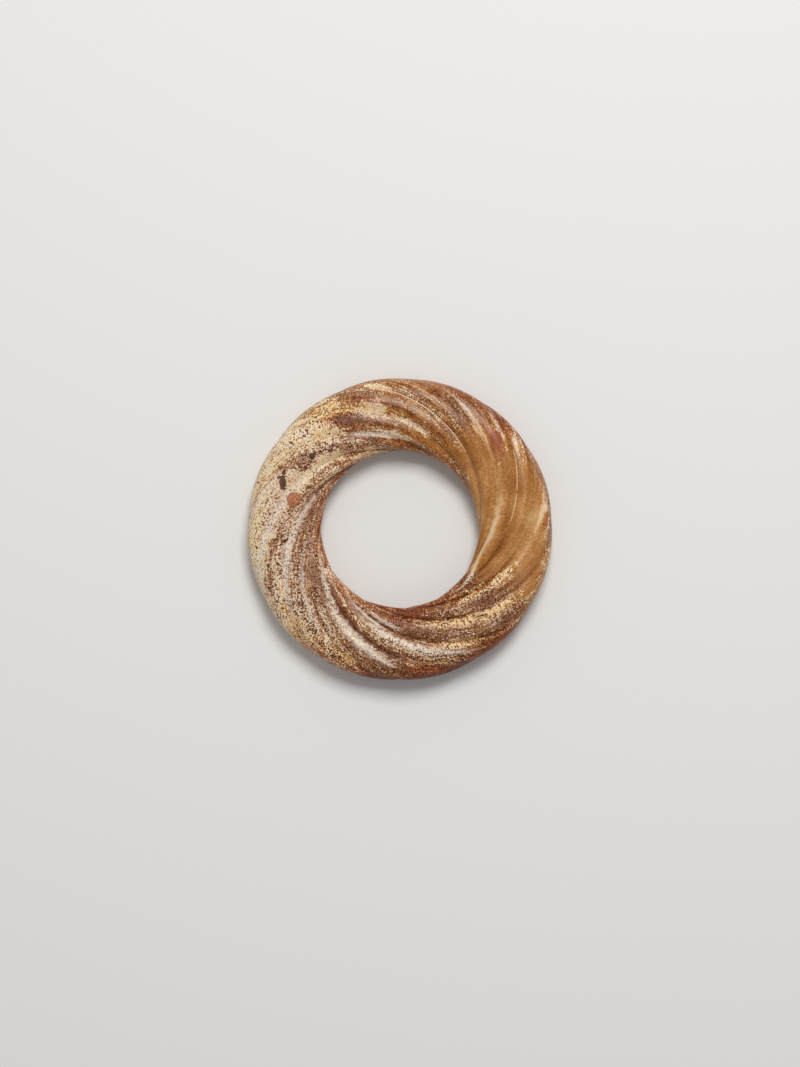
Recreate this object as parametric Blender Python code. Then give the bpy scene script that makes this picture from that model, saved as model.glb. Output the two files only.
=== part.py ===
"""Carved jade ring worked like a rope: strands lie round a closed ring and wind round its section.

Units are metres and +Z is up. The ring lies flat on its worn underside, with its axis on Z and its
lowest face at height 0. The long way round the ring is its run. Seen from above, each groove runs
from the hole's edge to the outer edge as it goes anticlockwise.
"""

import bmesh
import bpy
import numpy as np

# Sizes of the ring
OUTSIDE_DIAMETER = 0.0600
HOLE_DIAMETER = 0.0307
CARVED_THICKNESS = 0.0092

# How full the section is: 2 is an ellipse, and more is squarer
SECTION_FULLNESS = 2.3

# The twist
GROOVES_ROUND_RUN = 12
STRANDS_ROUND_SECTION = 8
GROOVE_DEPTH = 0.00055
STRAND_ROUNDNESS = 2.2
FIRST_GROOVE_DEG = -1.0

# How far each groove wanders from even spacing at the hole's edge, as cut by eye
GROOVE_WANDER_DEG = (-3.0, -4.0, -3.0, 0.0, 1.0, 2.0, 3.0, 3.0, 6.0, 6.0, -1.0, -1.0)

# The outline is a little out of round
OUT_OF_ROUND = 0.00015
OUT_OF_ROUND_DEG = 15.0

# Wear on the underside, which leaves a small flat on each strand that it lies on
UNDERSIDE_WEAR = 0.00014

# Fineness of the surface
SECTIONS_ROUND_RUN = 96
LINES_PER_STRAND = 6
PROFILE_STEPS = 1440

# Finish
JADE_COLOUR = (0.42, 0.25, 0.13, 1.0)
JADE_ROUGHNESS = 0.38
JADE_METALLIC = 0.0

# Worked out from the sizes
RUN_RADIUS = (OUTSIDE_DIAMETER + HOLE_DIAMETER) / 4
HALF_WIDTH = (OUTSIDE_DIAMETER - HOLE_DIAMETER) / 4
HALF_THICKNESS = CARVED_THICKNESS / 2
GROOVE_SPACING_DEG = 360.0 / GROOVES_ROUND_RUN
FACE_SWEEP_DEG = GROOVE_SPACING_DEG * STRANDS_ROUND_SECTION / 2
MERGE_DISTANCE = 1e-6


def section_profile():
    """Half widths across and up, and the lay share, from the hole's edge over the top to the rim.

    The lay share grows with the arc's length over the local radius, so that a groove keeps one
    angle to the run all the way. It is 0 at the hole's edge and 1 at the rim.
    """
    turn = np.linspace(np.pi, 0.0, PROFILE_STEPS + 1)
    power = 2.0 / SECTION_FULLNESS
    across = HALF_WIDTH * np.sign(np.cos(turn)) * np.abs(np.cos(turn)) ** power
    up = HALF_THICKNESS * np.abs(np.sin(turn)) ** power
    step = np.hypot(np.diff(across), np.diff(up))
    radius = RUN_RADIUS + (across[1:] + across[:-1]) / 2
    share = np.concatenate(([0.0], np.cumsum(step / radius)))
    return across, up, share / share[-1]


def groove_wander(lay_deg):
    """How far the grooves near this lay angle stray from even spacing, in degrees."""
    counted = np.arange(GROOVES_ROUND_RUN)
    wander = np.resize(GROOVE_WANDER_DEG, GROOVES_ROUND_RUN)
    stations = FIRST_GROOVE_DEG + counted * GROOVE_SPACING_DEG + wander
    return np.interp(lay_deg, stations, wander, period=360.0)


def strand_count_at(angle_deg, lay):
    """The count of strands passed at a place, whole on a groove. lay is 0 to 1 on top, 1 to 2 below."""
    top = groove_wander(angle_deg - FACE_SWEEP_DEG * lay)
    at_rim = groove_wander(angle_deg - FACE_SWEEP_DEG)
    at_hole = groove_wander(angle_deg)
    below = (2.0 - lay) * at_rim + (lay - 1.0) * at_hole
    strayed = np.where(lay <= 1.0, top, below)
    straight = angle_deg - FACE_SWEEP_DEG * lay - FIRST_GROOVE_DEG
    return (straight - strayed) / GROOVE_SPACING_DEG


def lay_of_lines(angle_deg, line_counts):
    """Where each line along the strands crosses the section at this angle, as a lay from 0 to 2."""
    lay = np.linspace(0.0, 2.0, PROFILE_STEPS + 1)
    passed = strand_count_at(angle_deg, lay)
    highest = passed[0]
    wanted = highest - np.mod(highest - line_counts, STRANDS_ROUND_SECTION)
    return np.interp(-wanted, -passed, lay)


def section_points(angle_deg, line_counts, profile):
    """The carved surface's points on one section, one for each line along the strands."""
    across_of, up_of, share_of = profile
    lay = lay_of_lines(angle_deg, line_counts)
    on_top = np.where(lay <= 1.0, lay, 2.0 - lay)
    side = np.where(lay <= 1.0, 1.0, -1.0)
    across = np.interp(on_top, share_of, across_of)
    up = np.interp(on_top, share_of, up_of) * side

    # The way out of the section, square to its smooth envelope
    slope_across = np.sign(across) * np.abs(across / HALF_WIDTH) ** (SECTION_FULLNESS - 1) / HALF_WIDTH
    slope_up = np.sign(up) * np.abs(up / HALF_THICKNESS) ** (SECTION_FULLNESS - 1) / HALF_THICKNESS
    length = np.hypot(slope_across, slope_up)

    from_crest = np.abs(2.0 * np.mod(line_counts, 1.0) - 1.0)
    depth = GROOVE_DEPTH * from_crest**STRAND_ROUNDNESS
    stretch = 1.0 + across / HALF_WIDTH
    stray = OUT_OF_ROUND / 2 * np.cos(np.radians(2 * (angle_deg - OUT_OF_ROUND_DEG)))
    radius = RUN_RADIUS + across - depth * slope_across / length + stray * stretch
    height = up - depth * slope_up / length
    angle = np.radians(angle_deg)
    return np.stack((radius * np.cos(angle), radius * np.sin(angle), height), axis=1)


def twisted_ring_mesh():
    """A sheet of quads wrapped round the section and along the run, then closed at both seams."""
    lines = STRANDS_ROUND_SECTION * LINES_PER_STRAND
    mesh = bmesh.new()
    bmesh.ops.create_grid(mesh, x_segments=SECTIONS_ROUND_RUN, y_segments=lines, size=0.5)
    mesh.verts.ensure_lookup_table()
    places = np.array([vertex.co[:2] for vertex in mesh.verts]) + 0.5
    section_of = np.rint(places[:, 0] * SECTIONS_ROUND_RUN).astype(int)
    line_of = np.rint(places[:, 1] * lines).astype(int)

    profile = section_profile()
    line_counts = np.mod(np.arange(lines + 1), lines) / LINES_PER_STRAND
    for section in range(SECTIONS_ROUND_RUN + 1):
        angle_deg = 360.0 * section / SECTIONS_ROUND_RUN
        points = section_points(angle_deg, line_counts, profile)
        for index in np.nonzero(section_of == section)[0]:
            mesh.verts[index].co = points[line_of[index]]

    bmesh.ops.remove_doubles(mesh, verts=mesh.verts, dist=MERGE_DISTANCE)
    bmesh.ops.recalc_face_normals(mesh, faces=mesh.faces)
    return mesh


def wear_underside_flat(mesh):
    """Planes off the lowest crests, fills each cut with a flat face and sets the flats at height 0."""
    lowest = min(vertex.co.z for vertex in mesh.verts)
    resting = lowest + UNDERSIDE_WEAR
    geometry = mesh.verts[:] + mesh.edges[:] + mesh.faces[:]
    bmesh.ops.bisect_plane(
        mesh,
        geom=geometry,
        dist=MERGE_DISTANCE,
        plane_co=(0.0, 0.0, resting),
        plane_no=(0.0, 0.0, 1.0),
        clear_inner=True,
    )
    open_edges = [edge for edge in mesh.edges if edge.is_boundary]
    bmesh.ops.holes_fill(mesh, edges=open_edges, sides=0)
    bmesh.ops.recalc_face_normals(mesh, faces=mesh.faces)
    bmesh.ops.translate(mesh, verts=mesh.verts, vec=(0.0, 0.0, -resting))


def jade_material():
    """Semi-polished jade with a brown and cream skin."""
    material = bpy.data.materials.new("jade")
    material.use_nodes = True
    shader = material.node_tree.nodes["Principled BSDF"]
    shader.inputs["Base Color"].default_value = JADE_COLOUR
    shader.inputs["Roughness"].default_value = JADE_ROUGHNESS
    shader.inputs["Metallic"].default_value = JADE_METALLIC
    return material


def build_ring(collection):
    """The one solid piece, as an object in the collection."""
    shape = twisted_ring_mesh()
    wear_underside_flat(shape)
    data = bpy.data.meshes.new("rope_twist_ring")
    shape.to_mesh(data)
    shape.free()
    data.shade_smooth()
    data.set_sharp_from_angle(angle=np.radians(35.0))
    data.materials.append(jade_material())
    ring = bpy.data.objects.new("rope_twist_ring", data)
    collection.objects.link(ring)
    return ring


def main():
    for obj in list(bpy.data.objects):
        bpy.data.objects.remove(obj, do_unlink=True)
    collection = bpy.data.collections.new("jade_rope_twist_ring")
    bpy.context.scene.collection.children.link(collection)
    build_ring(collection)


main()
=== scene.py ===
"""Dresses the jade rope-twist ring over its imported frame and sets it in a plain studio.

Lengths are metres unless a name or docstring says millimetres, and +Z is up. The ring lies on the
floor with its axis on Z and is seen from straight above, with +Y at the top of the picture. Angles
are degrees anticlockwise from +X. A reach is a distance from the axis. A lay is a place round the
section: 0 at the hole's edge, 1 at the rim by way of the top, and 2 back at the hole's edge.
"""

import logging
import math
from dataclasses import dataclass, field
from enum import Enum
from functools import reduce
from operator import add
from typing import Any

import bpy
import numpy as np
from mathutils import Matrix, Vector
from numpy.typing import NDArray


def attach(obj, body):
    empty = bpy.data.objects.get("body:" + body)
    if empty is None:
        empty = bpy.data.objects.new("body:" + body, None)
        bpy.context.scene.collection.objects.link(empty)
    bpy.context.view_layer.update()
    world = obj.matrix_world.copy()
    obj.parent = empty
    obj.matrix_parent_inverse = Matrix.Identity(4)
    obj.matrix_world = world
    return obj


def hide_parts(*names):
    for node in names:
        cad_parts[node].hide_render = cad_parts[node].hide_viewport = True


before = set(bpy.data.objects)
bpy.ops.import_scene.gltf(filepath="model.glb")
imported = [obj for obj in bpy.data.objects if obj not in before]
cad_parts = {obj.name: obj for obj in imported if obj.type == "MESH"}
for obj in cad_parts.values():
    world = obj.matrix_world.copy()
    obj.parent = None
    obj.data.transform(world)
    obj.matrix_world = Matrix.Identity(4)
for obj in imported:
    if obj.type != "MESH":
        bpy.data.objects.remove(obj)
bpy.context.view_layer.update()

BODY = "root"
CAD_NODE = "rope_twist_ring"
MM = 0.001

Numbers = NDArray[np.float64]
Colour = tuple[float, float, float]
Span = tuple[float, float]

log = logging.getLogger("jade_rope_twist_ring")


def srgb(red: int, green: int, blue: int) -> Colour:
    """A colour as a picture shows it, made linear for the shader.

    Args:
        red: Red from 0 to 255.
        green: Green from 0 to 255.
        blue: Blue from 0 to 255.

    Returns:
        The linear colour, each part from 0 to 1.
    """

    def linear(part: int) -> float:
        share = part / 255
        return share / 12.92 if share <= 0.04045 else ((share + 0.055) / 1.055) ** 2.4

    return linear(red), linear(green), linear(blue)


def smooth_step(value: Numbers, low: float, high: float) -> Numbers:
    """An eased ramp from 0 at low to 1 at high.

    Args:
        value: The numbers to ease.
        low: Where the ramp leaves 0.
        high: Where the ramp reaches 1.

    Returns:
        The ramp's height at each number.
    """
    share = np.clip((value - low) / (high - low), 0.0, 1.0)
    return share * share * (3.0 - 2.0 * share)


def near_angle(angle_deg: Numbers, middle_deg: float, spread_deg: float) -> Numbers:
    """A soft hump round one angle.

    Args:
        angle_deg: The angles.
        middle_deg: Where the hump is 1.
        spread_deg: How far off it falls to about a third.

    Returns:
        The hump's height at each angle.
    """
    off = np.mod(angle_deg - middle_deg + 180.0, 360.0) - 180.0
    return np.exp(-((off / spread_deg) ** 2))


class Tone(Enum):
    """What a zone or mark brings to the skin. Its value names the mesh attribute that holds it."""

    HUSK = "husk"
    CREAM = "cream"
    # Pale streaks together with painted highlights: glints, lit slopes and lit edges
    PALE = "pale"
    MAUVE = "mauve"
    GOLD = "gold"
    RUSSET = "russet"
    CHOCOLATE = "chocolate"
    PEPPER = "pepper"
    BLOTCH = "blotch"
    # Painted highlight and painted shade along the grooves' edges
    SEAM = "seam"
    # Painted shade in the grooves
    CREASE = "crease"
    ROSE = "rose"


@dataclass(frozen=True)
class Zone:
    """A broad part of the ring, from one angle to another and between two shares of its width."""

    start_deg: float
    end_deg: float
    inner: float
    outer: float
    cover: float
    fade_deg: float = 14.0
    fade_share: float = 0.12

    def strength(self, angle_deg: Numbers, share: Numbers) -> Numbers:
        """How strongly the zone holds at each place.

        Args:
            angle_deg: Each place's angle round the ring.
            share: How far each place is across the ring, 0 at the hole's edge and 1 at the rim.

        Returns:
            The zone's strength, from 0 outside it to its cover inside.
        """
        middle = (self.start_deg + self.end_deg) / 2
        half = (self.end_deg - self.start_deg) / 2
        off = np.abs(np.mod(angle_deg - middle + 180.0, 360.0) - 180.0)
        along = 1.0 - smooth_step(off, half - self.fade_deg, half + self.fade_deg)
        beyond_inner = smooth_step(share, self.inner - self.fade_share, self.inner + self.fade_share)
        before_outer = 1.0 - smooth_step(share, self.outer - self.fade_share, self.outer + self.fade_share)
        return self.cover * along * beyond_inner * before_outer


@dataclass(frozen=True)
class Mark:
    """One patch, band or line on the top, its length lying along the strands.

    The reach, length and width are millimetres. A negative cover takes its tone away. An edge near 1
    is crisp, and one of 0 is the softest. The turn is anticlockwise from the strands.
    """

    angle_deg: float
    reach: float
    length: float
    width: float
    cover: float
    edge: float = 0.55
    turn_deg: float = 0.0


# Broad parts of the skin by tone, among them painted shade in the grooves and at the bottom rim and painted
# light on the inner slope at the right, each laid over the one before
ZONES: dict[Tone, tuple[Zone, ...]] = {
    Tone.HUSK: (
        Zone(103, 330, -1, 2, 1, fade_deg=10), Zone(54, 110, 0.18, 2, 0.48, fade_deg=8),
        Zone(84, 112, -1, 0.3, 0.4, fade_deg=8), Zone(58, 84, 0.6, 0.95, 0.2, fade_deg=6),
        Zone(30, 56, 0.72, 2, 0.42, fade_deg=6), Zone(34, 90, -1, 0.13, 0.45, fade_deg=6, fade_share=0.08),
        Zone(-25, 62, 0.9, 2, 0.47, fade_share=0.06),
    ),
    Tone.CREAM: (
        Zone(28, 54, 0.72, 2, 0.2, fade_deg=6), Zone(116, 248, 0.26, 2, 0.46),
        Zone(130, 206, 0.7, 2, 0.6), Zone(200, 230, 0.72, 2, 0.36),
        Zone(104, 225, -1, 0.26, 0.36), Zone(104, 134, -1, 0.22, 0.16),
        Zone(225, 262, -1, 0.26, 0.14), Zone(246, 322, 0.22, 0.8, 0.33),
        # Zone(-12, 56, ...) paints light on the inner slope at the right, which faces away from the key
        Zone(334, 362, 0.62, 2, 0.46), Zone(-12, 56, -1, 0.28, 0.4),
        Zone(96, 118, 0.3, 2, 0.06),
    ),
    Tone.PALE: (
        Zone(334, 362, 0.7, 2, 0.12),
    ),
    Tone.MAUVE: (
        Zone(246, 335, 0.22, 0.85, 0.52), Zone(52, 104, 0.5, 2, 0.3),
        Zone(150, 245, -1, 0.75, 0.5), Zone(128, 232, 0.4, 2, 0.3),
        Zone(-15, 60, 0.92, 2, 0.5, fade_share=0.05),
    ),
    Tone.GOLD: (
        Zone(64, 140, 0.3, 0.95, 0.32), Zone(140, 205, 0.3, 2, 0.18),
        Zone(205, 346, 0.2, 2, 0.34), Zone(200, 240, 0.62, 2, 0.28),
        Zone(20, 120, -1, 0.22, 0.5),
    ),
    Tone.RUSSET: (
        Zone(38, 72, 0.66, 2, 0.4, fade_deg=8), Zone(34, 96, -1, 0.15, 0.35, fade_share=0.08),
        Zone(-180, 180, -1, 0.02, 0.4, fade_deg=1, fade_share=0.08),
        # Zone(225, 320, ...) paints shade along the bottom rim, where the light does not reach
        Zone(225, 320, 0.88, 2, 0.65, fade_share=0.07), Zone(-20, 135, 0.93, 2, 0.4, fade_share=0.06),
        Zone(100, 320, -1, 0.18, 0.48), Zone(262, 306, -1, 0.34, 0.35),
        Zone(304, 350, 0.25, 2, 0.26),
    ),
    Tone.CHOCOLATE: (
        Zone(72, 96, 0.5, 0.92, 0.3, fade_deg=8), Zone(240, 332, -1, 2, 0.3),
        Zone(258, 300, -1, 0.22, 0.65), Zone(50, 100, -1, 0.72, 0.44),
        Zone(88, 126, 0.4, 0.92, 0.42), Zone(36, 70, 0.1, 0.8, 0.38),
        # Zone(256, 320, ...) paints shade along the bottom rim
        Zone(38, 68, 0.66, 2, 0.68, fade_deg=8), Zone(256, 320, 0.74, 2, 0.8),
        Zone(268, 300, -1, 0.34, 0.4), Zone(110, 236, -1, 0.1, 0.22),
    ),
    Tone.PEPPER: (
        Zone(112, 245, 0.02, 2, 0.28), Zone(168, 240, 0.15, 0.92, 0.5),
        Zone(245, 335, 0.05, 0.95, 0.45),
    ),
    Tone.BLOTCH: (
        # Painted shade along the bottom rim
        Zone(252, 308, 0.92, 2, 0.52, fade_deg=10, fade_share=0.08),
    ),
    # Where painted shade darkens the grooves
    Tone.CREASE: (
        Zone(215, 352, -1, 0.9, 0.8), Zone(-40, 60, -1, 0.4, 0.35),
        Zone(60, 215, -1, 0.3, 0.4),
    ),
}

# Patches, bands and lines on the top by tone, among them painted highlights and painted shade, each laid over
# the one before
MARKS: dict[Tone, tuple[Mark, ...]] = {
    Tone.HUSK: (
        Mark(93.5, 18.3, 6, 1.6, 0.5), Mark(336, 22.3, 7, 2.4, 0.58),
    ),
    Tone.CREAM: (
        Mark(107, 28.2, 12, 1.7, -0.6), Mark(134, 21.6, 22, 3, -0.6), Mark(102, 24.4, 6, 3.2, 1, 0.2),
        # The mark at 81 degrees paints a highlight on a crest near the hole's edge
        Mark(99, 28.5, 5, 1.4, 0.95), Mark(81, 20, 9, 1.5, 0.85, 0.2), Mark(93.5, 18.3, 6, 1.6, 0.95),
        Mark(111, 16.6, 2.6, 1, 0.9), Mark(132, 24.8, 10, 4, 0.85), Mark(135, 27.4, 7, 2.6, -0.3),
        Mark(135, 19.7, 7, 2.2, 1), Mark(157, 22.6, 7, 3.2, 1), Mark(170, 27.6, 14, 2.6, 0.7),
        Mark(178, 24.2, 8, 2.4, 0.6), Mark(116, 23.9, 8, 2.6, -0.9), Mark(157, 16.8, 22, 2.4, -0.75),
        Mark(117, 26.6, 8, 2.4, 0.16), Mark(190, 24.7, 28, 1.5, -0.38, 0.2),
        Mark(204, 21.5, 24, 1.5, -0.45, 0.2), Mark(226, 25.6, 16, 1.2, -0.4, 0.2),
        Mark(195, 17.6, 22, 2.8, -0.5), Mark(198, 27.4, 14, 3, 0.22), Mark(213, 27.2, 10, 2.6, 0.18),
        Mark(203, 27.8, 5, 1.9, -0.7), Mark(221, 20, 9, 2.6, -0.5), Mark(203, 20.6, 18, 2.4, -0.1),
        Mark(249, 23.4, 15, 3.2, 0.35), Mark(283, 28, 24, 3, -0.3), Mark(248, 27.5, 4, 1.2, 0.7),
        Mark(276, 26.7, 5, 1.2, 0.5), Mark(286.5, 28, 6, 1.5, 0.4), Mark(295, 24.8, 9, 2.2, 0.2),
        Mark(319, 29, 9, 1.4, 0.25), Mark(241, 28.2, 13, 3, -0.4), Mark(245, 21.2, 20, 2.2, -0.6),
        Mark(265, 24.4, 7, 2, -0.9), Mark(280, 21.2, 12, 2, -0.9), Mark(270, 29, 34, 2, -0.9),
        Mark(300, 23.6, 28, 1.8, -0.3), Mark(320, 22, 20, 2.2, -0.4), Mark(316, 23.7, 22, 2, 0.42, 0.3),
        Mark(305.5, 22.4, 5.5, 1.8, 0.42), Mark(324, 19.8, 20, 1.9, 0.36, 0.3),
        # The four short marks at a reach of 16 mm paint highlights on the hole's edge where it faces the key
        Mark(336, 22.3, 6, 2.2, 0.62, 0.3), Mark(190, 16, 4, 0.5, 0.9), Mark(227, 16, 4.5, 0.5, 0.9),
        Mark(257, 16, 4.5, 0.5, 0.9), Mark(314, 16, 4.5, 0.5, 0.9),
    ),
    Tone.PALE: (
        # The first two marks paint light: a highlight band on a lit slope by the hole's edge, and light on
        # the inner slope at the right, which faces away from the key
        Mark(2, 18.2, 15, 1.5, 0.8, 0), Mark(30, 17, 14, 2.4, 0.3, 0), Mark(-8, 17, 7, 0.8, 0.6, 0),
        Mark(30, 21.5, 14, 1.6, 0.15, 0), Mark(-8, 22.5, 10, 2, 0.08, 0), Mark(0, 25.2, 9, 1.4, 0.25, 0),
        # The marks at 7 and 8.5 degrees paint a glint at the rim on the right
        Mark(36.5, 28.2, 4, 1.4, 0.85), Mark(7, 27.9, 7, 0.9, 0.85, 0.3), Mark(8.5, 28.8, 2, 1, 1, 0.3),
        Mark(14, 29, 4, 0.8, 0.7), Mark(42, 27.1, 1.6, 0.7, 0.85), Mark(53, 24.5, 3, 0.5, 0.8),
        # The mark at 56.5 degrees paints a highlight line along a groove's lit edge
        Mark(56.5, 26.1, 15, 0.75, 0.9, 0.3), Mark(80, 23.3, 16, 0.5, 0.3, 0.2),
        Mark(102, 18.7, 6, 0.9, 0.95), Mark(111, 19.9, 5, 0.9, 0.75), Mark(48, 27.9, 5.4, 0.8, 0.75),
        Mark(101, 24.6, 3.4, 2.2, 0.4), Mark(85, 20.8, 6, 0.7, 0.6, 0.2), Mark(83, 17.6, 5, 0.7, 0.55, 0.3),
        # Apart from the mark at 94 degrees, the marks on this line and the next three paint highlight streaks
        # on lit strand slopes at the left and the bottom, and a lit band at the left rim
        Mark(94, 18.3, 5, 0.9, 0.6), Mark(212, 22.2, 12, 0.8, 0.7, 0.2), Mark(173, 29, 13, 1.2, 0.95, 0.3),
        Mark(183, 26.3, 20, 1.4, 1, 0.2), Mark(197, 23.2, 22, 1.25, 1, 0.2), Mark(214, 17.6, 12, 1.2, 0.9),
        Mark(248, 23.2, 15, 1.8, 1, 0.3), Mark(261, 25.8, 6, 0.7, 0.85), Mark(225, 24.2, 7, 0.7, 0.75),
        Mark(249, 18, 11, 0.8, 1), Mark(261, 18.4, 7, 0.6, 0.85), Mark(273, 22.6, 19, 1.25, 1, 0.3),
        # The marks at 322 and 336 degrees paint highlights on the hole's edge at the lower right
        Mark(293, 26.3, 9, 0.7, 0.8, 0.3), Mark(322, 16.3, 7, 0.9, 0.85, 0.4, 22.8),
        Mark(336, 16.3, 7, 0.9, 0.85, 0.4, 22.8),
    ),
    Tone.MAUVE: (
        Mark(42.5, 25.5, 8, 3.2, -0.9), Mark(48, 27.9, 6, 1.5, 0.9), Mark(65, 26.6, 8, 3.4, 0.9),
        Mark(107, 28.2, 12, 1.7, 1), Mark(134, 21.6, 22, 3, 1), Mark(102, 24.4, 5, 3, -0.8),
        Mark(105, 22.6, 9, 2.4, 0.7), Mark(192, 24.9, 26, 1.6, 0.45), Mark(195, 17.6, 22, 2.8, 0.7),
        Mark(203, 27.8, 5, 1.9, 0.95), Mark(221, 20, 9, 2.6, 0.95), Mark(302, 26.2, 18, 1.6, -0.6),
        Mark(300, 23.6, 30, 2.2, 0.55), Mark(320, 22, 20, 2.2, 0.6), Mark(300, 19, 16, 2.4, 0.4),
        Mark(316, 23.7, 20, 1.6, -0.8), Mark(324, 19.8, 20, 1.4, -0.8),
    ),
    Tone.GOLD: (
        Mark(117, 26.2, 11, 4, 0.85), Mark(302, 26.2, 18, 1.6, 0.8), Mark(283, 28.6, 30, 2.4, -0.35),
        Mark(225, 28.7, 14, 2.4, 0.9), Mark(248, 27.5, 4, 1.2, 0.95), Mark(276, 26.7, 5, 1.2, 0.95),
        Mark(286.5, 28, 6, 1.5, 0.95), Mark(295, 24.8, 9, 2.4, 0.85), Mark(319, 29, 9, 1.6, 0.95),
        Mark(316, 23.7, 20, 1.6, 0.7), Mark(324, 19.8, 20, 1.9, 0.6),
    ),
    Tone.RUSSET: (
        Mark(3, 28.5, 3.2, 1.2, 1), Mark(-12, 26, 3, 1.6, 0.35, 0.2), Mark(48, 29, 6, 1.3, 0.95),
        Mark(42, 25.4, 6.4, 2.8, 0.8), Mark(120, 24.8, 9, 2.8, 0.55), Mark(105, 26.6, 7, 0.7, 0.95),
        Mark(283, 28.6, 30, 3, 0.4), Mark(242, 29.3, 10, 1.6, 0.9), Mark(347.5, 24.4, 3.2, 0.9, 0.7),
        Mark(350.5, 27.6, 1.8, 0.8, 0.85), Mark(343, 26.4, 2.2, 0.7, 0.75), Mark(353, 25.3, 1.3, 0.6, 0.8),
    ),
    Tone.CHOCOLATE: (
        Mark(6, 16.8, 12, 1, 0.5, 0), Mark(-2, 19.6, 12, 1.2, 0.3, 0), Mark(36.5, 28.2, 4, 1.4, -1),
        Mark(57, 25.6, 14, 0.7, 0.45, 0.3), Mark(3, 28.5, 2.8, 1, 0.5), Mark(48, 29, 5, 1, 0.8),
        Mark(41, 25, 6, 2.6, 0.55), Mark(43.5, 26, 2.4, 1.6, -0.25), Mark(121, 24.6, 9, 2.2, 0.42),
        Mark(105, 26.6, 6, 0.5, 0.7), Mark(134, 21.6, 20, 2.6, 0.06), Mark(88, 16.9, 8, 1.2, 0.5),
        Mark(100, 17.4, 9, 1.6, 0.85), Mark(116, 23.9, 7, 2, 0.9), Mark(105, 22.6, 8, 2, 0.05),
        Mark(157, 16.8, 22, 1.6, 0.5), Mark(195, 16.6, 20, 1.8, 0.3), Mark(285, 27.8, 16, 2.6, 0.9),
        Mark(241, 28.4, 13, 2.4, 0.35), Mark(245, 21.2, 20, 2, 0.5), Mark(265, 24.4, 6, 1.8, 0.85),
        # Mark(278, 29.3, ...) paints shade along the bottom rim
        Mark(282.5, 21.4, 7, 1.6, 0.8), Mark(285, 15.9, 18, 1.4, 0.8), Mark(278, 29.3, 30, 1.6, 0.8),
        Mark(300, 28.2, 16, 1.6, 0.85), Mark(314, 27.5, 14, 0.7, 0.9), Mark(323, 17.6, 10, 0.9, 0.8),
        Mark(347, 19.4, 9, 1.8, 0.45), Mark(164.5, 21.5, 3.2, 2.8, 1, 0.9),
        Mark(164.5, 21.5, 2.5, 2.1, -0.86, 0.9), Mark(165, 21.3, 1.9, 1.6, 0.55, 0.9),
        Mark(165, 21.3, 1.3, 1, -0.8, 0.9), Mark(155.3, 19.7, 3.6, 1.8, 0.7), Mark(145, 18.5, 5, 1.6, 0.55),
    ),
    Tone.PEPPER: (
        Mark(118, 25.4, 10, 4, 0.5), Mark(134, 21.6, 20, 3, 0.6), Mark(203, 21.9, 22, 2.4, 0.4),
        Mark(304.5, 22.2, 4, 1.6, 0.6), Mark(334, 22, 8, 2.4, 0.6), Mark(146, 22.9, 5, 2.4, 0.5),
    ),
    Tone.BLOTCH: (
        Mark(308, 26.6, 16, 0.45, 0.56, 0.3), Mark(284, 15.8, 6, 1.1, 0.48, 0.8, 22.8),
        Mark(160, 22.1, 3.6, 0.45, 0.5, 0.4, -50), Mark(155.6, 19.8, 1.6, 1, 0.6),
        Mark(158.5, 24.6, 2.5, 1.5, 1, 0.7, 48), Mark(154, 25.2, 1, 0.8, 0.9),
        Mark(157, 25.8, 0.9, 0.6, 0.8), Mark(140, 22.3, 1.5, 1.1, 0.9), Mark(131.5, 20.5, 1.2, 0.8, 0.9),
        Mark(147, 22, 1, 0.8, 0.9), Mark(141.5, 27.2, 0.8, 0.7, 0.9), Mark(195.5, 26.6, 1.1, 0.9, 0.9),
        Mark(190, 25.6, 0.8, 0.7, 0.9), Mark(186, 22.6, 0.8, 0.6, 0.9), Mark(298.5, 19.8, 0.8, 0.6, 0.9),
        Mark(319.5, 26.7, 0.8, 0.6, 0.9), Mark(323, 18.1, 0.8, 0.6, 0.9), Mark(312, 23, 2.6, 0.6, 0.6),
    ),
    # Where painted highlights and painted shade line the grooves' edges on the polished side
    Tone.SEAM: (
        Mark(22, 24.8, 17, 2, 0.75), Mark(8, 27.6, 9, 2.2, 0.9), Mark(55, 26.1, 12, 2.4, 0.95),
        Mark(80, 24.3, 27, 2.4, 0.95), Mark(86, 20.4, 14, 2, 0.42),
    ),
    Tone.ROSE: (
        Mark(43.5, 25.9, 2.8, 2.3, 0.95), Mark(164.5, 21.5, 3.1, 2.7, 0.52, 0.8),
        Mark(163.3, 22, 4.6, 2.4, 0.28),
    ),
}


@dataclass(frozen=True)
class Sheet:
    """The places of the ring's sheet of points: a row for each section, a column for each line."""

    angle_deg: Numbers
    lay: Numbers
    count: Numbers
    reach: Numbers
    height: Numbers


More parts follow.
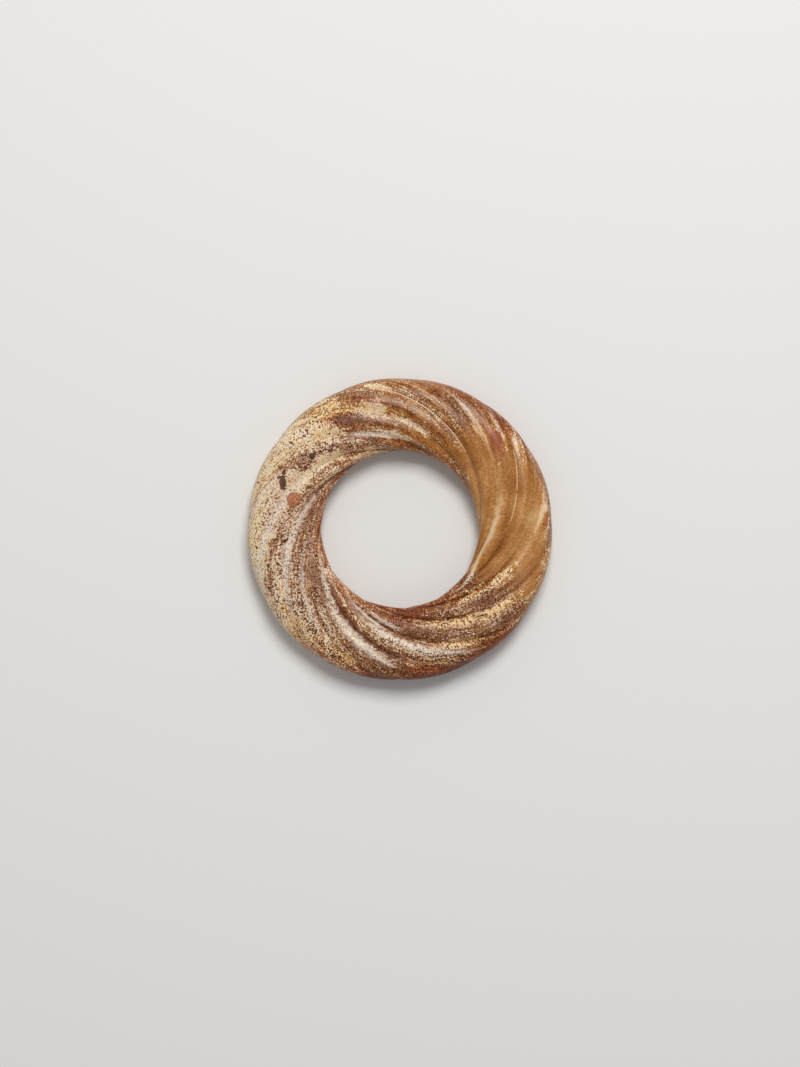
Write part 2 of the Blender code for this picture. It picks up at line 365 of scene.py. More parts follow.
@dataclass(frozen=True)
class RopeTwist:
    """The carved form: strands that lie along the ring and wind round its section."""

    outside_diameter: float = 0.0600
    hole_diameter: float = 0.0307
    carved_thickness: float = 0.0092
    section_fullness: float = 2.3
    grooves_round_run: int = 12
    strands_round_section: int = 8
    first_groove_deg: float = -1.0
    groove_wander_deg: tuple[float, ...] = (-3.0, -4.0, -3.0, 0.0, 1.0, 2.0, 3.0, 3.0, 6.0, 6.0, -1.0, -1.0)
    out_of_round: float = 0.00015
    out_of_round_deg: float = 15.0
    underside_wear: float = 0.00014

    groove_depth: float = 0.00055
    strand_roundness: float = 2.2
    crisp_deg: float = 290.0
    crisp_spread_deg: float = 70.0
    crisp_least: float = 0.70
    deeper: float = 0.35
    polished_deg: float = 12.0
    polished_spread_deg: float = 62.0
    polished_loss: float = 0.12
    rim_loss: float = 0.50
    rim_start: float = 0.60

    sections: int = 680
    lines_per_strand: int = 18
    crowding: float = 0.42
    profile_steps: int = 1440

    @property
    def run_radius(self) -> float:
        """The radius of the section's middle line."""
        return (self.outside_diameter + self.hole_diameter) / 4

    @property
    def half_width(self) -> float:
        """Half the section's width."""
        return (self.outside_diameter - self.hole_diameter) / 4

    @property
    def half_thickness(self) -> float:
        """Half the section's height."""
        return self.carved_thickness / 2

    @property
    def spacing_deg(self) -> float:
        """The angle from one groove to the next."""
        return 360.0 / self.grooves_round_run

    @property
    def sweep_deg(self) -> float:
        """The angle that a strand travels from the hole's edge to the rim."""
        return self.spacing_deg * self.strands_round_section / 2

    @property
    def lines(self) -> int:
        """The number of lines along the strands."""
        return self.strands_round_section * self.lines_per_strand

    def profile(self) -> tuple[Numbers, Numbers, Numbers, float]:
        """Traces the top of the section from the hole's edge to the rim.

        Returns:
            The widths across from the middle, the heights, the lay share, and the whole arc in
            radians of run, which is its length with each step over the local radius.
        """
        turn = np.linspace(np.pi, 0.0, self.profile_steps + 1)
        power = 2.0 / self.section_fullness
        across = self.half_width * np.sign(np.cos(turn)) * np.abs(np.cos(turn)) ** power
        up = self.half_thickness * np.abs(np.sin(turn)) ** power
        step = np.hypot(np.diff(across), np.diff(up))
        radius = self.run_radius + (across[1:] + across[:-1]) / 2
        share = np.concatenate(([0.0], np.cumsum(step / radius)))
        return across, up, share / share[-1], float(share[-1])

    def wander(self, lay_deg: Numbers) -> Numbers:
        """How far the grooves near each lay angle stray from even spacing.

        Args:
            lay_deg: The angle at which a strand line leaves the hole's edge.

        Returns:
            The stray in degrees.
        """
        counted = np.arange(self.grooves_round_run)
        wander = np.array(self.groove_wander_deg)
        stations = self.first_groove_deg + counted * self.spacing_deg + wander
        return np.interp(lay_deg, stations, wander, period=360.0)

    def count_at(self, angle_deg: Numbers, lay: Numbers) -> Numbers:
        """Counts the strands passed at each place; the count is whole on a groove.

        Args:
            angle_deg: The angle round the ring.
            lay: The place round the section, 0 to 1 on top and 1 to 2 below.

        Returns:
            The strand count.
        """
        top = self.wander(angle_deg - self.sweep_deg * lay)
        at_rim = self.wander(angle_deg - self.sweep_deg)
        at_hole = self.wander(angle_deg)
        below = (2.0 - lay) * at_rim + (lay - 1.0) * at_hole
        strayed = np.where(lay <= 1.0, top, below)
        return (angle_deg - self.sweep_deg * lay - self.first_groove_deg - strayed) / self.spacing_deg

    def line_counts(self) -> Numbers:
        """The strand count of each line, crowded towards the grooves so that they stay crisp.

        Returns:
            One count for each line, with the first repeated at the end.
        """
        index = np.arange(self.lines + 1) % self.lines
        whole, part = np.divmod(index, self.lines_per_strand)
        even = part / self.lines_per_strand
        return whole + even - self.crowding * np.sin(2 * np.pi * even) / (2 * np.pi)

    def groove_share(self, count: Numbers) -> Numbers:
        """How near each place is to a groove, 0 on a crest and 1 in a groove."""
        return np.abs(2.0 * np.mod(count, 1.0) - 1.0)

    def carved(self, angle_deg: Numbers, count: Numbers, share: Numbers) -> Numbers:
        """The depth cut below the smooth envelope.

        Args:
            angle_deg: The angle round the ring.
            count: The strand count.
            share: How far across the ring, 0 at the hole's edge and 1 at the rim.

        Returns:
            The depth in metres.
        """
        near = self.groove_share(count)
        crisp = self.crisp_least + (1.0 - self.crisp_least) * near_angle(
            angle_deg, self.crisp_deg, self.crisp_spread_deg
        )
        worn = (1.0 - np.cos(np.pi * near)) / 2
        shape = crisp * near**self.strand_roundness + (1.0 - crisp) * worn
        polished = near_angle(angle_deg, self.polished_deg, self.polished_spread_deg)
        at_rim = smooth_step(share, self.rim_start, 1.0)
        left = (1.0 - self.polished_loss * polished) * (1.0 - self.rim_loss * at_rim)
        left = left * (1.0 + self.deeper * near_angle(angle_deg, self.crisp_deg, self.crisp_spread_deg))
        return self.groove_depth * shape * left

    def sheet(self) -> Sheet:
        """Lays out every point of the ring.

        Returns:
            The places of the sheet's points.
        """
        across_of, up_of, share_of, _ = self.profile()
        counts = self.line_counts()
        steps = np.linspace(0.0, 2.0, self.profile_steps + 1)
        angle_deg = np.repeat(np.linspace(0.0, 360.0, self.sections + 1)[:, None], counts.size, axis=1)
        lay = np.empty_like(angle_deg)
        count = np.empty_like(angle_deg)
        for row, angle in enumerate(angle_deg[:, 0]):
            passed = self.count_at(np.full_like(steps, angle), steps)
            count[row] = passed[0] - np.mod(passed[0] - counts, self.strands_round_section)
            lay[row] = np.interp(-count[row], -passed, steps)

        on_top = np.where(lay <= 1.0, lay, 2.0 - lay)
        side = np.where(lay <= 1.0, 1.0, -1.0)
        across = np.interp(on_top, share_of, across_of)
        up = np.interp(on_top, share_of, up_of) * side
        power = self.section_fullness - 1
        slope_across = np.sign(across) * np.abs(across / self.half_width) ** power / self.half_width
        slope_up = np.sign(up) * np.abs(up / self.half_thickness) ** power / self.half_thickness
        share = (across / self.half_width + 1.0) / 2
        depth = self.carved(angle_deg, count, share) / np.hypot(slope_across, slope_up)
        stray = self.out_of_round / 2 * np.cos(np.radians(2 * (angle_deg - self.out_of_round_deg)))
        reach = self.run_radius + across - depth * slope_across + stray * (1.0 + across / self.half_width)
        height = self.half_thickness - self.underside_wear + up - depth * slope_up
        return Sheet(angle_deg, lay, count, reach, height)


@dataclass(frozen=True)
class SkinMap:
    """Paints the zones and marks onto the ring's points as one number for each tone."""

    twist: RopeTwist
    wobble: float = 0.35
    full_wobble_length: float = 10.0
    long_wave: float = 1.9
    wave_shift: float = 2.3
    short_wave: float = 4.3
    wave_slant: float = 1.7
    flow_across: float = 1.9
    flow_along: float = 1.6
    flow_turn_deg: float = 90.0

    def mark_strength(self, mark: Mark, sheet: Sheet) -> Numbers:
        """How strongly a mark holds at each point of the sheet.

        Args:
            mark: The mark.
            sheet: The ring's points.

        Returns:
            The strength, from 0 outside the mark to 1 well inside.
        """
        twist = self.twist
        across_of, _, share_of, arc = twist.profile()
        sweep = math.radians(twist.sweep_deg)
        pitch = math.hypot(sweep, arc)
        mark_lay = np.interp(mark.reach * MM - twist.run_radius, across_of, share_of)
        mark_count = twist.count_at(np.array(mark.angle_deg), np.array(mark_lay))
        wobble = self.wobble * mark.width / 4 * min(1.0, mark.length / self.full_wobble_length)
        turn = math.radians(mark.turn_deg)
        nearest = np.full(sheet.lay.shape, np.inf)
        for turns in (0, 1):
            lay = sheet.lay - 2.0 * turns
            count = sheet.count + turns * twist.strands_round_section - mark_count
            half_way = twist.grooves_round_run / 2
            apart = np.mod(count + half_way, twist.grooves_round_run) - half_way
            strands_off = apart * math.radians(twist.spacing_deg) * sheet.reach / pitch / MM
            along = (lay - mark_lay) * pitch * sheet.reach / MM + strands_off * sweep
            aside = strands_off * arc
            waves = np.sin(self.long_wave * along + self.wave_shift * mark.angle_deg)
            waves = waves + np.sin(self.short_wave * along + self.wave_slant * aside)
            aside = aside + wobble * waves
            ahead = along * math.cos(turn) + aside * math.sin(turn)
            beside = aside * math.cos(turn) - along * math.sin(turn)
            far = np.hypot(2.0 * ahead / mark.length, 2.0 * beside / mark.width)
            nearest = np.minimum(nearest, far)
        return 1.0 - smooth_step(nearest, mark.edge, 2.0 - mark.edge)

    def tones(self, sheet: Sheet) -> dict[str, Numbers]:
        """Works out every tone's cover.

        Args:
            sheet: The ring's points.

        Returns:
            The cover of each tone by its attribute's name.
        """
        share = (sheet.reach - self.twist.hole_diameter / 2) / (2 * self.twist.half_width)
        covers = {}
        for tone in Tone:
            cover = covers[tone.value] = np.zeros_like(share)
            for zone in ZONES.get(tone, ()):
                cover += (1.0 - cover) * zone.strength(sheet.angle_deg, share)
            for mark in MARKS.get(tone, ()):
                goal = 1.0 if mark.cover > 0 else 0.0
                cover += (goal - cover) * abs(mark.cover) * self.mark_strength(mark, sheet)
        return covers

    def flow(self, sheet: Sheet) -> dict[str, Numbers]:
        """Gives coordinates that follow the strands and close on themselves.

        Args:
            sheet: The ring's points.

        Returns:
            The four coordinates, the nearness to a groove, and the side of the strand.
        """
        turn = np.radians(self.flow_turn_deg) * sheet.count
        run = np.radians(sheet.angle_deg)
        return {
            "flow_x": self.flow_across * np.cos(turn),
            "flow_y": self.flow_across * np.sin(turn),
            "flow_z": self.flow_along * np.cos(run),
            "flow_w": self.flow_along * np.sin(run),
            "groove": self.twist.groove_share(sheet.count),
            "outward": np.sin(2 * np.pi * sheet.count),
        }


class Wire:
    """A shader value. Python's operators on it add Math nodes."""

    def __init__(self, bench: "Bench", socket: bpy.types.NodeSocket) -> None:
        """Wraps an output socket of a node on a bench."""
        self.bench = bench
        self.socket = socket

    def __add__(self, other: "Wire | float") -> "Wire":
        """This plus the other."""
        return self.bench.maths("ADD", self, other)

    def __radd__(self, other: float) -> "Wire":
        """The other plus this."""
        return self.bench.maths("ADD", other, self)

    def __sub__(self, other: "Wire | float") -> "Wire":
        """This less the other."""
        return self.bench.maths("SUBTRACT", self, other)

    def __rsub__(self, other: float) -> "Wire":
        """The other less this."""
        return self.bench.maths("SUBTRACT", other, self)

    def __mul__(self, other: "Wire | float") -> "Wire":
        """This times the other."""
        return self.bench.maths("MULTIPLY", self, other)

    def __rmul__(self, other: float) -> "Wire":
        """The other times this."""
        return self.bench.maths("MULTIPLY", other, self)

    def eased(self, low: float, high: float) -> "Wire":
        """An eased ramp of this value.

        Args:
            low: Where the ramp leaves 0.
            high: Where the ramp reaches 1.

        Returns:
            The ramp, from 0 to 1.
        """
        sockets = {"Value": self, "From Min": low, "From Max": high}
        made = self.bench.node("ShaderNodeMapRange", {"interpolation_type": "SMOOTHSTEP"}, sockets)
        return Wire(self.bench, made.outputs["Result"])


class Bench:
    """The node tree of one material, where shaders are put together."""

    def __init__(self, name: str) -> None:
        """Starts a material with a bare Principled shader."""
        self.material = bpy.data.materials.new(name)
        self.material.use_nodes = True
        self.tree = self.material.node_tree
        self.shader = self.tree.nodes["Principled BSDF"]

    def feed(self, socket: bpy.types.NodeSocket, value: Any) -> None:
        """Links a wire to a socket, or sets the socket to a plain value.

        Args:
            socket: The input socket.
            value: A wire, a number, a colour or a vector.
        """
        if isinstance(value, Wire):
            self.tree.links.new(value.socket, socket)
        elif socket.type == "RGBA":
            socket.default_value = (*value, 1.0)
        else:
            socket.default_value = value

    def node(
        self,
        kind: str,
        settings: dict[str, Any] | None = None,
        sockets: dict[str | int, Any] | None = None,
    ) -> bpy.types.Node:
        """Adds a node.

        Args:
            kind: The node's type.
            settings: Its properties, set first.
            sockets: The value or wire for each input.

        Returns:
            The node.
        """
        made = self.tree.nodes.new(kind)
        for name, value in (settings or {}).items():
            if name == "stops":
                self.set_stops(made.color_ramp, value)
            else:
                setattr(made, name, value)
        for name, value in (sockets or {}).items():
            self.feed(made.inputs[name], value)
        return made

    def set_stops(self, ramp: bpy.types.ColorRamp, stops: tuple[tuple[float, Colour], ...]) -> None:
        """Gives a colour ramp its stops.

        Args:
            ramp: The ramp, which comes with two.
            stops: The place and colour of each.
        """
        while len(ramp.elements) < len(stops):
            ramp.elements.new(1.0)
        for element, (place, colour) in zip(ramp.elements, stops, strict=True):
            element.position = place
            element.color = (*colour, 1.0)

    def maths(self, operation: str, first: Wire | float, second: Wire | float) -> Wire:
        """One sum on values.

        Args:
            operation: The Math node's operation.
            first: The first value.
            second: The second value.

        Returns:
            The result.
        """
        made = self.node("ShaderNodeMath", {"operation": operation}, {0: first, 1: second})
        return Wire(self, made.outputs[0])

    def attribute(self, name: str) -> Wire:
        """Reads a number kept on the mesh's points."""
        made = self.node("ShaderNodeAttribute", {"attribute_name": name})
        return Wire(self, made.outputs["Fac"])

    def mix(self, share: Wire | float, first: Wire | Colour, second: Wire | Colour) -> Wire:
        """Blends two colours.

        Args:
            share: How much of the second shows.
            first: The colour below.
            second: The colour above.

        Returns:
            The blend.
        """
        sockets = {"Factor": share, 6: first, 7: second}
        made = self.node("ShaderNodeMix", {"data_type": "RGBA"}, sockets)
        return Wire(self, made.outputs[2])

    def set_shader(self, sockets: dict[str, Any]) -> None:
        """Feeds the Principled shader's inputs by name."""
        for name, value in sockets.items():
            self.feed(self.shader.inputs[name], value)


@dataclass(frozen=True)
class Noise:
    """One noise. Its scale is features to a metre, or to a unit of flow along the strands."""

    scale: float
    detail: float
    along_strands: bool = False


class Recipe:
    """A sum of named wires, each by its strength, and the span over which the sum takes hold."""

    def __init__(self, level: float = 0.0, span: Span = (0.0, 1.0), **strengths: float) -> None:
        """Notes the recipe, with each strength under the name of its wire."""
        self.level = level
        self.span = span
        self.strengths = strengths

    def total(self, wires: dict[str, Wire]) -> Wire:
        """The level with every wire added to it by its strength."""
        shares = (wires[name] * strength for name, strength in self.strengths.items())
        return reduce(add, shares, self.level)

    def grains(self, wires: dict[str, Wire]) -> Wire:
        """The total eased over the span, which breaks it into grains."""
        return self.total(wires).eased(*self.span)


NOISES = {
    "streak": Noise(1.0, 4.0, along_strands=True),
    "fibre": Noise(6.0, 3.0, along_strands=True),
    "grain": Noise(3100.0, 1.5),
    "clump": Noise(650.0, 3.0),
    "cloud": Noise(200.0, 4.0),
    "speck": Noise(1700.0, 2.0),
    "dust": Noise(3400.0, 0.0),
}

# Tones and places eased, most of them broken up by noise, each from the wires made before it
GRAINS = {
    "creamy": Recipe(span=(0.12, 0.68), cream=1.0, drift=1.0),
    "strong_cream": Recipe(span=(0.5, 0.9), cream=1.0),
    "strong_pale": Recipe(span=(0.5, 0.9), pale=1.0),
    "husked": Recipe(-0.1, (0.36, 0.70), husk=1.1, strong_cream=0.7, streak=1.2, grain=1.3, clump=1.8),
    "gilded": Recipe(span=(0.25, 0.7), gold=1.0, grain=0.8, clump=-1.2, cloud=1.4),
    "tinged": Recipe(span=(0.25, 0.7), mauve=1.0, streak=0.8, clump=1.2),
    "rusted": Recipe(span=(0.25, 0.7), russet=1.0, fibre=1.0, grain=-0.6, cloud=1.2),
    "reddened": Recipe(span=(0.1, 0.9), russet=1.0),
    "pepper_hold": Recipe(span=(0.0, 0.2), pepper=1.0),
    "peppered": Recipe(span=(0.20, 0.25), pepper=0.16, streak=0.3, clump=0.5, speck=1.0),
    "busy": Recipe(span=(-0.35, 0.35), streak=1.2, cloud=1.9),
    "dusted": Recipe(span=(0.09, 0.19), pepper=0.14, cream=-0.10, streak=0.25, clump=0.35, dust=1.0),
    # From here to lit: painted shade in the grooves, and painted highlight and shade along their edges; lit
    # is the outward side of each strand, taken as the side facing the light
    "painted_crease_shade": Recipe(span=(0.78, 0.97), groove=1.0),
    "groove_light_band": Recipe(span=(0.86, 0.97), groove=1.0),
    "groove_light_hold": Recipe(span=(0.0, 0.3), seam=1.0),
    "groove_light_grains": Recipe(span=(0.3, 0.8), seam=1.0, grain=0.8, clump=1.6),
    "lit": Recipe(span=(-0.1, 0.15), outward=1.0),
    "rosy": Recipe(span=(0.25, 0.75), rose=1.0, grain=0.8, clump=0.4),
    "blotched": Recipe(span=(0.46, 0.60), blotch=1.0, grain=1.4, clump=0.9),
}


@dataclass(frozen=True)
class Stone:
    """One kind of stone, as its colours from the darkest grain to the palest."""

    shades: tuple[tuple[int, int, int], ...]
    depths: tuple[float, ...] = (0.0, 0.18, 0.36, 0.52, 0.68, 0.84, 1.0)

    def stops(self) -> tuple[tuple[float, Colour], ...]:
        """The shades at their depths, for a colour ramp."""
        return tuple((depth, srgb(*shade)) for depth, shade in zip(self.depths, self.shades, strict=True))


HONEY = Stone(
    (
        (90, 42, 7), (118, 65, 23), (147, 90, 38), (170, 112, 56),
        (193, 141, 83), (216, 176, 125), (234, 207, 166),
    )
)
HUSK = Stone(
    (
        (82, 40, 8), (106, 57, 22), (138, 85, 50), (170, 116, 75),
        (200, 157, 114), (226, 201, 158), (242, 228, 196),
    )
)
MAUVE = Stone(
    (
        (86, 43, 8), (108, 62, 29), (142, 95, 62), (171, 127, 95),
        (197, 158, 125), (219, 190, 158), (238, 219, 195),
    )
)
GOLD = Stone(
    (
        (74, 37, 6), (106, 60, 22), (154, 98, 50), (190, 134, 78),
        (216, 168, 108), (232, 200, 146), (242, 222, 182),
    )
)
RUSSET = Stone(
    (
        (76, 30, 6), (104, 46, 15), (148, 78, 40), (182, 108, 63),
        (206, 144, 97), (226, 184, 144), (240, 212, 180),
    )
)


@dataclass(frozen=True)
class JadeSkin:
    """Semi-polished honey jade under a weathered skin of cream, brown and mauve grains.

    A depth is how pale the stone is, from 0 to 1.
    """

    # Colour of the pale streaks and painted highlights on the skin
    white_colour: Colour = srgb(240, 224, 205)
    # Colour of the painted highlights along the grooves' lit edges, and of the pale streaks and painted
    # highlights on the polished stone
    warm_highlight_colour: Colour = srgb(232, 200, 160)
    blotch_colour: Colour = srgb(74, 30, 6)
    rose_colour: Colour = srgb(192, 100, 42)

    drift: Recipe = Recipe(streak=1.70, fibre=1.40, grain=1.66, clump=1.00)
    gathering: Recipe = Recipe(0.45, busy=1.05)
    # Painted shade in the grooves and beside their unlit edges
    painted_groove_shade: Recipe = Recipe(painted_crease_shade=0.22, unlit_groove_shade=0.14)
    skin_paling: Recipe = Recipe(0.50, creamy=0.368, drift=0.36)
    # Darkens the skin by its chocolate, pepper and dust, and by the painted groove shade
    skin_darkening: Recipe = Recipe(chocolate=0.20, peppered=0.46, dusted=0.42, painted_groove_shade=1.0)
    honey_noise: Recipe = Recipe(0.53, streak=0.50, fibre=0.24, grain=0.50, cloud=0.62)
    # Pale streaks and painted highlights lighten the polished stone, and the painted groove shade darkens it
    honey_tones: Recipe = Recipe(pale=0.35, husk_drift=0.9, cream=0.14, chocolate=-0.22, painted_groove_shade=-1.0)
    honey_mauve: float = 0.7

    white_level: float = 0.95
    # How strongly pale streaks and painted highlights show: fully on the skin, and on the polished stone only
    # where the pale cover is strong
    white_least: float = 0.2
    white_gain: float = 0.8
    dust_on_white: float = 0.6
    white_strength: float = 0.85
    # How strongly the painted groove highlight shows
    groove_highlight_strength: float = 0.72
    rose_darkening: float = 0.75
    spot_strength: float = 0.92

    roughness: Recipe = Recipe(0.31, husked=0.13, peppered=0.15, blotched=0.20, grain=0.25)
    husk_relief: Recipe = Recipe(fibre=0.5, grain=0.9)
    relief: Recipe = Recipe(husk_relief=1.0, clump=0.4, peppered=-0.4)
    relief_distance: float = 0.0001
    relief_strength: float = 0.8
    refraction: float = 1.42
    shine: float = 0.36

    def material(self) -> bpy.types.Material:
        """Builds the skin's material.

        Returns:
            The material.
        """
        bench = Bench("weathered_jade")
        wires = self.read(bench)
        skin = bench.mix(wires["husked"], self.polished(bench, wires), self.weathered(bench, wires))
        relief = {
            "Height": self.relief.total(wires),
            "Distance": self.relief_distance,
            "Strength": self.relief_strength,
        }
        bump = bench.node("ShaderNodeBump", None, relief)
        bench.set_shader(
            {
                "Base Color": self.marked(bench, wires, skin),
                "Roughness": self.roughness.total(wires),
                "Normal": Wire(bench, bump.outputs["Normal"]),
                "IOR": self.refraction,
                "Specular IOR Level": self.shine,
                "Metallic": 0.0,
            }
        )
        return bench.material

    def read(self, bench: Bench) -> dict[str, Wire]:
        """Reads the mesh's tones and breaks them up into grains.

        Args:
            bench: The material's bench.

        Returns:
            Everything that the colours are mixed by, under its name.
        """
        names = ("groove", "outward", *(tone.value for tone in Tone))
        wires = self.noises(bench) | {name: bench.attribute(name) for name in names}
        wires["drift"] = self.drift.total(wires)
        for name, recipe in GRAINS.items():
            wires[name] = recipe.grains(wires)
        wires["peppered"] *= wires["pepper_hold"]
        wires["dusted"] *= self.gathering.total(wires)
        # Painted shade deep in the grooves, where the crease shade zones hold
        wires["painted_crease_shade"] *= wires["crease"]
        wires["husk_drift"] = wires["husk"] * wires["drift"]
        wires["husk_relief"] = wires["husked"] * self.husk_relief.total(wires)
        # Painted highlight on the lit edge of each groove, and painted shade on its unlit edge
        seam = wires["groove_light_grains"] * wires["groove_light_band"] * wires["groove_light_hold"]
        wires["lit_seam"] = seam * wires["lit"]
        wires["unlit_groove_shade"] = seam - wires["lit_seam"]
        # All painted shade in and beside the grooves
        wires["painted_groove_shade"] = self.painted_groove_shade.total(wires)
        return wires

    def noises(self, bench: Bench) -> dict[str, Wire]:
        """Makes every noise, centred on 0.

        Args:
            bench: The material's bench.

        Returns:
            The noises by name.
        """
        place = Wire(bench, bench.node("ShaderNodeTexCoord").outputs["Object"])
        sides = {axis: bench.attribute(f"flow_{axis.lower()}") for axis in "XYZ"}
        flow = Wire(bench, bench.node("ShaderNodeCombineXYZ", None, sides).outputs["Vector"])
        fourth = bench.attribute("flow_w")
        made = {}
        for name, noise in NOISES.items():
            sockets = {"Vector": place, "Scale": noise.scale, "Detail": noise.detail}
            if noise.along_strands:
                sockets.update({"Vector": flow, "W": fourth})
            settings = {"noise_dimensions": "4D" if noise.along_strands else "3D"}
            made[name] = Wire(bench, bench.node("ShaderNodeTexNoise", settings, sockets).outputs[0]) - 0.5
        return made

    def weathered(self, bench: Bench, wires: dict[str, Wire]) -> Wire:
        """Colours the weathered skin.

        Args:
            bench: The material's bench.
            wires: What the colours are mixed by.

        Returns:
            The colour.
        """
        depth = self.skin_paling.total(wires) - self.skin_darkening.total(wires)
        skin = self.shade(bench, HUSK, depth)
        for stone, grains in ((GOLD, "gilded"), (MAUVE, "tinged"), (RUSSET, "rusted")):
            skin = bench.mix(wires[grains], skin, self.shade(bench, stone, depth))
        return skin

    def polished(self, bench: Bench, wires: dict[str, Wire]) -> Wire:
        """Colours the polished stone, which shows where no skin is left.

        Args:
            bench: The material's bench.
            wires: What the colours are mixed by.

        Returns:
            The colour.
        """
        depth = self.honey_noise.total(wires) + self.honey_tones.total(wires)
        body = bench.mix(wires["reddened"], self.shade(bench, HONEY, depth), self.shade(bench, RUSSET, depth))
        return bench.mix(self.honey_mauve * wires["mauve"], body, self.shade(bench, MAUVE, depth))

    def marked(self, bench: Bench, wires: dict[str, Wire], skin: Wire) -> Wire:
        """Lays the pale streaks and painted highlights, the painted groove highlights, the rosy spots and the
        blotches over the skin.

        Args:
            bench: The material's bench.
            wires: What the colours are mixed by.
            skin: The colour below.

        Returns:
            The colour.
        """
        husked = wires["husked"]
        grainy = (self.white_level + wires["drift"] * husked).eased(0.0, 1.0)
        white_hold = self.white_least + self.white_gain * (husked + wires["strong_pale"] * (1.0 - husked))
        clear = 1.0 - self.dust_on_white * wires["dusted"] * husked
        # Pale streaks and painted highlights: white on the skin, warm on the polished stone
        white = bench.mix(husked, self.warm_highlight_colour, self.white_colour)
        skin = bench.mix(self.white_strength * wires["pale"] * grainy * white_hold * clear, skin, white)
        # Painted highlight along the lit edge of each groove
        skin = bench.mix(self.groove_highlight_strength * wires["lit_seam"], skin, self.warm_highlight_colour)
        darkened = self.rose_darkening * wires["chocolate"]
        rosy_shade = bench.mix(darkened, self.rose_colour, self.blotch_colour)
        skin = bench.mix(self.spot_strength * wires["rosy"], skin, rosy_shade)
        return bench.mix(self.spot_strength * wires["blotched"], skin, self.blotch_colour)

    def shade(self, bench: Bench, stone: Stone, depth: Wire) -> Wire:
        """Colours a kind of stone by its depth."""
        made = bench.node("ShaderNodeValToRGB", {"stops": stone.stops()}, {"Fac": depth})
        return Wire(bench, made.outputs["Color"])


@dataclass(frozen=True)
class HandWork:
    """The slight unevenness that hand carving and long wear leave."""

    swell_size: float = 0.0045
    swell_depth: float = 0.00010
    ripple_size: float = 0.0012
    ripple_depth: float = 0.00003
    finer_layers: int = 2

    def wear(self, ring: bpy.types.Object) -> None:
        """Sinks the surface a little, unevenly, and never raises it.

        Args:
            ring: The ring, which is the active object.
        """
        swell = ("swell", self.swell_size, self.swell_depth)
        ripple = ("ripple", self.ripple_size, self.ripple_depth)
        for name, size, depth in (swell, ripple):
            texture = bpy.data.textures.new(name, "CLOUDS")
            texture.noise_scale = size
            texture.noise_depth = self.finer_layers
            modifier = ring.modifiers.new(name, "DISPLACE")
            modifier.texture = texture
            modifier.texture_coords = "LOCAL"
            modifier.strength = depth
            modifier.mid_level = 1.0
            bpy.ops.object.modifier_apply(modifier=name)


@dataclass(frozen=True)
class TwistedRing:
    """The whole jade ring, one solid piece."""

    twist: RopeTwist = field(default_factory=RopeTwist)
    skin: JadeSkin = field(default_factory=JadeSkin)
    hand_work: HandWork = field(default_factory=HandWork)
    merge_distance: float = 1e-6
    smooth_below_deg: float = 50.0

    def build(self) -> bpy.types.Object:
        """Models, paints and places the ring.

        Returns:
            The ring.
        """
        ring = self.wrap_sheet()
        self.hand_work.wear(ring)
        self.plane_underside()
        ring.data.materials.append(self.skin.material())
        bpy.ops.object.shade_smooth_by_angle(angle=math.radians(self.smooth_below_deg))
        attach(ring, BODY)
        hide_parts(CAD_NODE)
        return ring

    def wrap_sheet(self) -> bpy.types.Object:
        """Wraps a grid round the section and along the run, and closes both seams.

        Returns:
            The ring, a closed mesh with its paint on its points.
        """
        twist = self.twist
        bpy.ops.mesh.primitive_grid_add(x_subdivisions=twist.sections, y_subdivisions=twist.lines, size=1.0)
        ring = bpy.context.active_object
        ring.name = ring.data.name = "twisted_jade_ring"
        flat = np.empty(len(ring.data.vertices) * 3)
        ring.data.vertices.foreach_get("co", flat)
        places = flat.reshape(-1, 3) + 0.5
        section = np.rint(places[:, 0] * twist.sections).astype(int)
        line = np.rint(places[:, 1] * twist.lines).astype(int)

        sheet = twist.sheet()
        run = np.radians(sheet.angle_deg)
        wrapped = np.stack((sheet.reach * np.cos(run), sheet.reach * np.sin(run), sheet.height), axis=-1)
        ring.data.vertices.foreach_set("co", wrapped[section, line].ravel())
        painter = SkinMap(twist)
        for name, values in {**painter.tones(sheet), **painter.flow(sheet)}.items():
            layer = ring.data.attributes.new(name, "FLOAT", "POINT")
            layer.data.foreach_set("value", values[section, line].astype(np.float32))
        ring.data.update()

        bpy.ops.object.mode_set(mode="EDIT")
        bpy.ops.mesh.select_all(action="SELECT")
        bpy.ops.mesh.remove_doubles(threshold=self.merge_distance)
        bpy.ops.mesh.normals_make_consistent(inside=False)
        bpy.ops.object.mode_set(mode="OBJECT")
        return ring

    def plane_underside(self) -> None:
        """Cuts the lowest crests off flat at the floor and fills each cut."""
        bpy.ops.object.mode_set(mode="EDIT")
        bpy.ops.mesh.select_all(action="SELECT")
        bpy.ops.mesh.bisect(
            plane_co=(0.0, 0.0, 0.0),
            plane_no=(0.0, 0.0, 1.0),
            use_fill=True,
            clear_inner=True,
            threshold=self.merge_distance,
        )
        bpy.ops.mesh.select_all(action="SELECT")
        bpy.ops.mesh.normals_make_consistent(inside=False)
        bpy.ops.object.mode_set(mode="OBJECT")


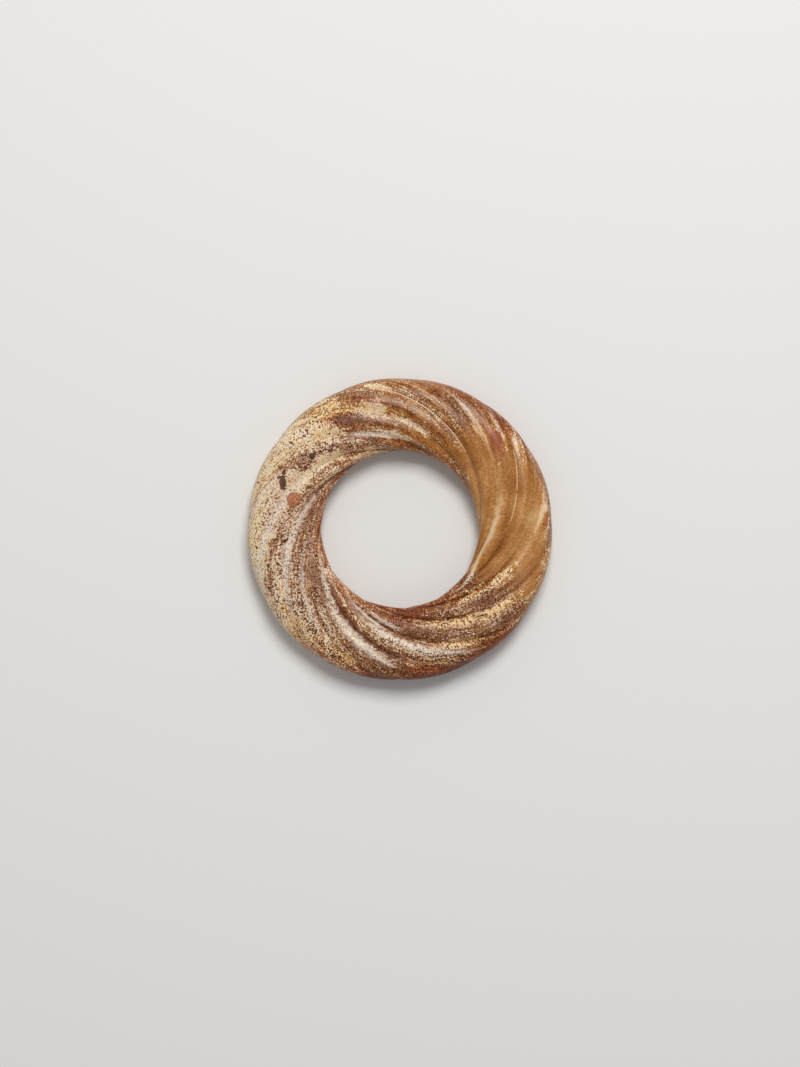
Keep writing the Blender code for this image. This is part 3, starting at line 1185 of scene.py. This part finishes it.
@dataclass(frozen=True)
class Studio:
    """A plain pale floor, a soft key from the upper right, and a camera straight above."""

    floor_side: float = 3.0
    floor_gap: float = 0.00002
    floor_colour: Colour = (0.80, 0.79, 0.77)
    floor_roughness: float = 0.7
    key_azimuth_deg: float = 78.0
    key_elevation_deg: float = 60.0
    key_distance: float = 0.80
    key_side: float = 0.30
    key_power: float = 4.4
    air_strength: float = 0.36
    lens: float = 85.0
    sensor: float = 36.0
    camera_height: float = 0.5006
    camera_y: float = -0.00085

    def build(self) -> None:
        """Sets up the floor, the light and the camera."""
        self.lay_floor()
        self.hang_key()
        self.fill_air()
        self.place_camera()
        bpy.context.scene.view_settings.view_transform = "Standard"

    def lay_floor(self) -> None:
        """Lays the floor just under the ring."""
        bpy.ops.mesh.primitive_plane_add(size=self.floor_side, location=(0.0, 0.0, -self.floor_gap))
        floor = bpy.context.active_object
        floor.name = "studio_floor"
        bench = Bench("pale_floor")
        bench.set_shader({"Base Color": self.floor_colour, "Roughness": self.floor_roughness})
        floor.data.materials.append(bench.material)

    def hang_key(self) -> None:
        """Hangs a square soft light, aimed at the ring."""
        azimuth = math.radians(self.key_azimuth_deg)
        elevation = math.radians(self.key_elevation_deg)
        way = Vector(
            (
                math.cos(azimuth) * math.cos(elevation),
                math.sin(azimuth) * math.cos(elevation),
                math.sin(elevation),
            )
        )
        bpy.ops.object.light_add(type="AREA", location=way * self.key_distance)
        key = bpy.context.active_object
        key.name = "key_light"
        key.rotation_euler = way.to_track_quat("Z", "Y").to_euler()
        key.data.size = self.key_side
        key.data.energy = self.key_power

    def fill_air(self) -> None:
        """Fills the shadows evenly."""
        air = bpy.data.worlds.new("studio_air")
        air.use_nodes = True
        background = air.node_tree.nodes["Background"]
        background.inputs["Color"].default_value = (1.0, 1.0, 1.0, 1.0)
        background.inputs["Strength"].default_value = self.air_strength
        bpy.context.scene.world = air

    def place_camera(self) -> None:
        """Places the camera above the ring, looking straight down."""
        bpy.ops.object.camera_add(location=(0.0, self.camera_y, self.camera_height), rotation=(0.0, 0.0, 0.0))
        camera = bpy.context.active_object
        camera.name = "photo_camera"
        camera.data.lens = self.lens
        camera.data.sensor_width = self.sensor
        bpy.context.scene.camera = camera


def main() -> None:
    """Builds the ring and the studio, and reports each piece."""
    logging.basicConfig(level=logging.INFO, format="%(name)s: %(message)s")
    bpy.ops.object.select_all(action="DESELECT")
    ring = TwistedRing().build()
    log.info("%s: %d faces on %s", ring.name, len(ring.data.polygons), BODY)
    Studio().build()
    log.info("studio: floor, key light and camera")


if __name__ == "__main__":
    main()
